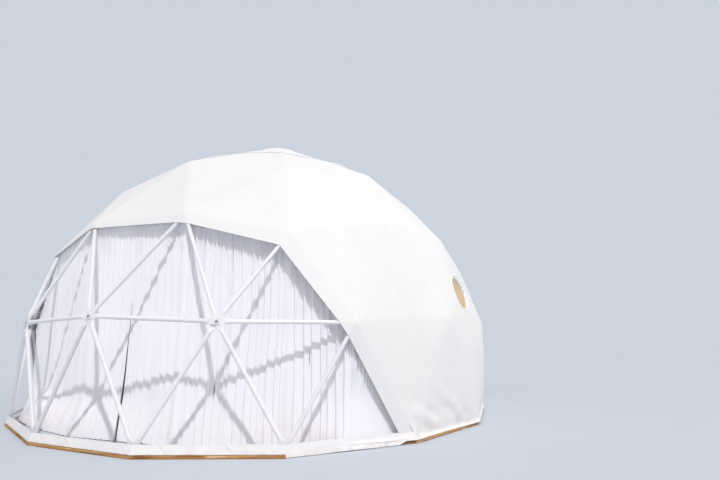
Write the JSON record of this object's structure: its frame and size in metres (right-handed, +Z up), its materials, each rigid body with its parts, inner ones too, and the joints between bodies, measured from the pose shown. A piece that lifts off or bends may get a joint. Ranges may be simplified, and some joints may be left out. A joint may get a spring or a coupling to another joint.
{
  "type": "geodesic dome tent",
  "caption": "Geodesic dome tent: white cover over a frame of bolted steel tube triangles on a timber sill, with a clear bay window, curtains, round portholes and a rear doorway",
  "frame": {"origin": "on the ground under the apex, in the middle of the timber sill ring", "axes": "Z is up, the middle of the bay window faces -Y, the doorway is at the rear right, 144 degrees round from the window toward +X"},
  "size_m": [7.2812, 7.2847, 4.4025],
  "materials": {
    "frame_steel": "white powder coat, semi-gloss",
    "bright_steel": "zinc plated",
    "sill_wood": "treated softwood, weathered orange brown",
    "cover_fabric": "coated white membrane, satin",
    "clear_film": "clear flexible film",
    "port_ring": "white welded ring",
    "port_pane": "tan film, satin",
    "curtain_cloth": "light white woven cloth, pleated"
  },
  "bodies": {
    "root": {"sill_boards": "sill_wood", "base_brackets": "bright_steel", "base_ring": "frame_steel", "lower_lattice": "frame_steel", "waist_ring": "frame_steel", "middle_lattice": "frame_steel", "shoulder_ring": "frame_steel", "upper_lattice": "frame_steel", "upper_ring": "frame_steel", "crown_lattice": "frame_steel", "crown_ring": "frame_steel", "apex_struts": "frame_steel", "door_frame": "frame_steel", "bolts_base": "bright_steel", "bolts_waist": "bright_steel", "bolts_shoulder": "bright_steel", "bolts_crown": "bright_steel", "window_lower": "clear_film", "window_upper": "clear_film", "window_hem": "cover_fabric", "cover_lower_left": "cover_fabric", "cover_lower_right": "cover_fabric", "cover_lower_rear_left": "cover_fabric", "cover_lower_rear_right": "cover_fabric", "cover_middle_left": "cover_fabric", "cover_middle_right": "cover_fabric", "cover_middle_rear_left": "cover_fabric", "cover_middle_rear_right": "cover_fabric", "cover_upper_front": "cover_fabric", "cover_upper_rear": "cover_fabric", "cover_crown": "cover_fabric", "crown_cap": "cover_fabric", "skirt_front": "cover_fabric", "skirt_rear": "cover_fabric", "porthole_rings": "port_ring", "porthole_panes": "port_pane", "door_wall": "cover_fabric", "door_returns": "cover_fabric", "door_flap": "cover_fabric", "curtain_rail": "frame_steel", "curtain_far_left": "curtain_cloth", "curtain_left": "curtain_cloth", "curtain_middle": "curtain_cloth", "curtain_right": "curtain_cloth", "curtain_far_right": "curtain_cloth"}
  },
  "joints": []
}
